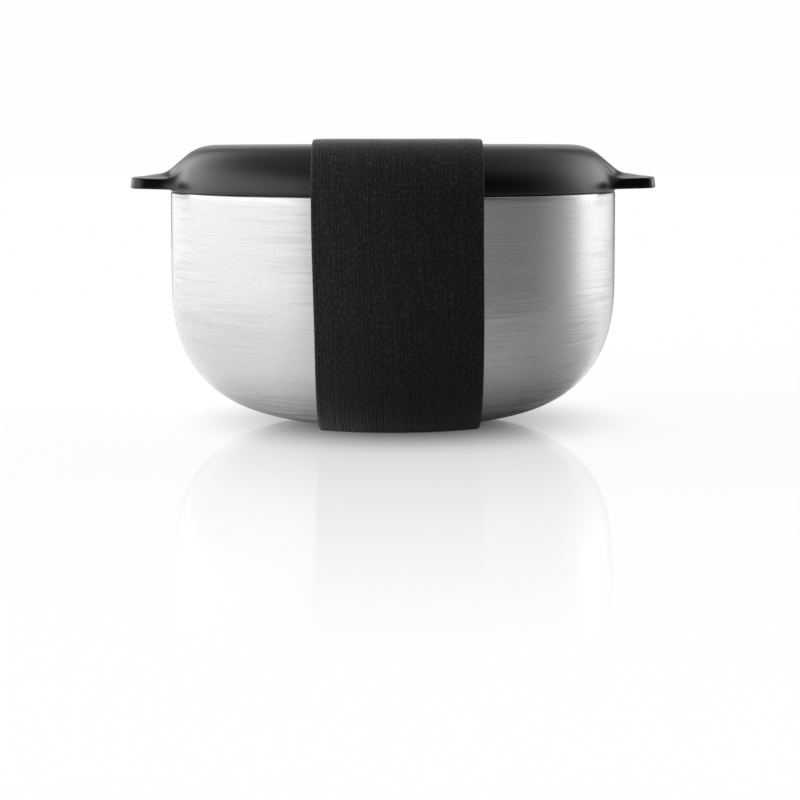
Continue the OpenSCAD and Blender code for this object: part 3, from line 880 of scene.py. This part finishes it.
# Radiance of the floor that the world's light alone gives, and the white that the camera sees
FLOOR_LIT = 0.145
WHITE = 0.99
# Share of the mirror image at the bowl, and the distances between which it fades
MIRROR_SHARE = 0.27
MIRROR_FADE = (0.04, 0.30)
MIRROR_ROUGH = 0.06
# Radiance of what the table mirrors behind the bowl
MIRRORED = STUDIO_BACK * STUDIO_STRENGTH
# Painted shadow round the bowl's foot, with its middle a little to the right of the axis: from the middle out,
# the table's own light comes up over these radii, beyond the dark under the bowl: for the camera, and in what
# the bowl mirrors
CONTACT_PAINTED_SHADOW = (0.012, 0.08, 0)
MIRRORED_PAINTED_SHADOW = (0.035, 0.09, 0)
PAINTED_SHADOW_MIDDLE = (0.004, 0, 0)


def make_floor():
    """A white acrylic table. The camera sees it lifted to the white of the background, with the bowl's shadow,
    partly cast on its matt part and partly a painted shadow round the foot, and a weak mirror image that dies
    away from the bowl. What the bowl itself mirrors is a greyer table with a painted glow, brightest on the
    left, as in a studio whose soft boxes stand on the left and behind, and darkened by painted shade round the
    foot."""
    grid = np.linspace(-FLOOR_HALF, FLOOR_HALF, 3)
    x, y = np.meshgrid(grid, grid, indexing="ij")
    floor = surface("floor", np.stack([x, y, 0 * x - FLOOR_DROP], axis=-1), False, False)
    if floor.data.polygons[0].normal.z < 0:
        floor.data.flip_normals()
    made, tree, output = material("white_acrylic_table")
    place = add(tree, "ShaderNodeTexCoord").outputs["Object"]
    path = add(tree, "ShaderNodeLightPath").outputs
    seen = path["Is Camera Ray"]
    beside = add(tree, "ShaderNodeVectorMath", {0: place, 1: PAINTED_SHADOW_MIDDLE}, operation="SUBTRACT")
    far = add(tree, "ShaderNodeVectorMath", {0: beside.outputs[0]}, operation="LENGTH").outputs["Value"]
    parts = add(tree, "ShaderNodeSeparateXYZ", {0: place})
    # Painted reflection: the table glows by angle round the bowl, and only the bowl's reflections see that
    # glow
    glow = ramp_round(tree, parts.outputs[0], parts.outputs[1], TABLE_LEVELS)
    glow = add(tree, "ShaderNodeMath", {0: glow, 1: path["Is Glossy Ray"]}, operation="MULTIPLY")
    # Painted shadow round the bowl's foot: the radii over which the table's emitted light comes up, for the
    # camera and for what the bowl mirrors
    reach = add(tree, "ShaderNodeMix", {0: seen, 4: MIRRORED_PAINTED_SHADOW, 5: CONTACT_PAINTED_SHADOW}, data_type="VECTOR")
    ends = add(tree, "ShaderNodeSeparateXYZ", {0: reach.outputs[1]})
    outside_painted_shadow = add(tree, "ShaderNodeMapRange", {
        "Value": far, "From Min": ends.outputs[0], "From Max": ends.outputs[1]},
        interpolation_type="SMOOTHSTEP")
    near = add(tree, "ShaderNodeMapRange", {"Value": far, "From Min": MIRROR_FADE[0],
                                            "From Max": MIRROR_FADE[1], "To Min": MIRROR_SHARE,
                                            "To Max": 0.0})
    share = add(tree, "ShaderNodeMath", {0: near.outputs[0], 1: seen}, operation="MULTIPLY")
    # Where the table mirrors what stands behind, its own light makes up for the difference to the white
    made_up = add(tree, "ShaderNodeMath", {0: near.outputs[0], 1: WHITE - MIRRORED, 2: WHITE - FLOOR_LIT},
                  operation="MULTIPLY_ADD")
    lift = add(tree, "ShaderNodeMix", {0: seen, 2: glow.outputs[0], 3: made_up.outputs[0]})
    # The painted shadow darkens the table's emitted light near the bowl's foot, by distance alone
    lift = add(tree, "ShaderNodeMath", {0: lift.outputs[0], 1: outside_painted_shadow.outputs[0]}, operation="MULTIPLY")
    matt = add(tree, "ShaderNodeBsdfDiffuse", {"Color": (FLOOR_ALBEDO, FLOOR_ALBEDO, FLOOR_ALBEDO, 1)})
    light = add(tree, "ShaderNodeEmission", {"Strength": lift.outputs[0]})
    table = add(tree, "ShaderNodeAddShader", {0: matt.outputs[0], 1: light.outputs[0]})
    gloss = add(tree, "ShaderNodeBsdfGlossy", {"Color": (1, 1, 1, 1), "Roughness": MIRROR_ROUGH})
    mixed = add(tree, "ShaderNodeMixShader", {0: share.outputs[0], 1: table.outputs[0],
                                              2: gloss.outputs[0]})
    tree.links.new(mixed.outputs[0], output.inputs["Surface"])
    floor.data.materials.append(made)


def make_world():
    """White for the camera. For everything else it is a dark studio with a wide soft box on the left, a
    narrower one behind on the right, a soft light above and behind, and black cloth on the camera's side."""
    world = bpy.data.worlds.new("studio")
    bpy.context.scene.world = world
    world.use_nodes = True
    tree = world.node_tree
    tree.nodes.clear()
    output = tree.nodes.new("ShaderNodeOutputWorld")
    way = add(tree, "ShaderNodeTexCoord").outputs["Generated"]
    x, y, z = add(tree, "ShaderNodeSeparateXYZ", {0: way}).outputs
    ramp = ramp_round(tree, x, y, STUDIO_LEVELS)
    # Straight behind and low down the studio is evenly pale, so that the table mirrors it without a mark
    level_way = add(tree, "ShaderNodeCombineXYZ", {0: x, 1: y})
    unit = add(tree, "ShaderNodeVectorMath", {0: level_way.outputs[0]}, operation="NORMALIZE")
    behind = add(tree, "ShaderNodeVectorMath", {0: unit.outputs[0], 1: (0, 1, 0)}, operation="DOT_PRODUCT")
    # Five smooth steps: the value that each reads, its two limits, and the levels at them
    limits = [
        (behind.outputs["Value"], *BACK_SIDES, 0, 1), (z, *BACK_TOP, 1, 0), (z, *WALLS_TOP, 1, 0),
        (y, *CLOTH_EDGE, CLOTH_LEVEL, 1), (z, *ABOVE_START, 0, STUDIO_TOP)]
    middle, near_floor, low, back, high = [
        add(tree, "ShaderNodeMapRange", dict(enumerate(each)), interpolation_type="SMOOTHSTEP").outputs[0]
        for each in limits]
    pale = add(tree, "ShaderNodeMath", {0: middle, 1: near_floor}, operation="MULTIPLY")
    level = add(tree, "ShaderNodeMix", {0: pale.outputs[0], 2: ramp, 3: STUDIO_BACK})
    walls = add(tree, "ShaderNodeMath", {0: level.outputs[0], 1: low}, operation="MULTIPLY")
    walls = add(tree, "ShaderNodeMath", {0: walls.outputs[0], 1: STUDIO_STRENGTH}, operation="MULTIPLY")
    above = add(tree, "ShaderNodeMath", {0: back, 1: high}, operation="MULTIPLY")
    both = add(tree, "ShaderNodeMath", {0: walls.outputs[0], 1: above.outputs[0]}, operation="ADD")
    seen = add(tree, "ShaderNodeLightPath").outputs["Is Camera Ray"]
    level = add(tree, "ShaderNodeMix", {0: seen, 2: both.outputs[0], 3: WHITE})
    ground = add(tree, "ShaderNodeBackground", {"Color": (1, 1, 1, 1), "Strength": level.outputs[0]})
    tree.links.new(ground.outputs[0], output.inputs["Surface"])


# The camera stands about level with the lid's top and is fitted to the curves of the rim and the wall.
# Lens and sensor are in millimetres, angles in degrees, and the shift is a share of the picture's width
CAMERA_AWAY = 660 * MM
CAMERA_HIGH = 93.3 * MM
CAMERA_ASIDE = 2.3 * MM
CAMERA_LENS = 90.3
CAMERA_SENSOR = 36
CAMERA_TILT = 5.5
CAMERA_SHIFT = -0.0883
CAMERA_ROLL = 0.07


def make_camera():
    """The camera, at the photograph's height and distance."""
    data = bpy.data.cameras.new("camera")
    data.lens = CAMERA_LENS
    data.sensor_width = CAMERA_SENSOR
    data.shift_y = CAMERA_SHIFT
    data.clip_start, data.clip_end = 0.01, 50
    camera = bpy.data.objects.new("camera", data)
    camera.location = (CAMERA_ASIDE, -CAMERA_AWAY, CAMERA_HIGH)
    camera.rotation_euler = (math.radians(90 - CAMERA_TILT), math.radians(CAMERA_ROLL), 0)
    bpy.context.scene.collection.objects.link(camera)
    bpy.context.scene.camera = camera


class BOWL_PT_panel(bpy.types.Panel):
    """Lists the pieces of the bowl"""

    bl_idname = "BOWL_PT_panel"
    bl_label = "Insulated bowl"
    bl_space_type = "VIEW_3D"
    bl_region_type = "UI"
    bl_category = "Bowl"

    def draw(self, context):
        for operator in OPERATORS:
            self.layout.operator(operator.bl_idname)
        for name in SETTINGS:
            group = getattr(context.scene, name)
            box = self.layout.box()
            for key in group.__annotations__:
                box.prop(group, key)


OPERATORS = [BOWL_OT_walls, BOWL_OT_lid, BOWL_OT_band, BOWL_OT_stage]
CLASSES = [*SETTINGS.values(), *OPERATORS, BOWL_PT_panel]


def register():
    for cls in CLASSES:
        bpy.utils.register_class(cls)
    for name, group in SETTINGS.items():
        setattr(bpy.types.Scene, name, PointerProperty(type=group))


def unregister():
    for name in SETTINGS:
        delattr(bpy.types.Scene, name)
    for cls in reversed(CLASSES):
        bpy.utils.unregister_class(cls)


def main():
    """Registers the classes and makes every piece."""
    register()
    bpy.ops.bowl.walls()
    bpy.ops.bowl.lid()
    bpy.ops.bowl.band()
    bpy.ops.bowl.stage()


if __name__ == "__main__":
    main()
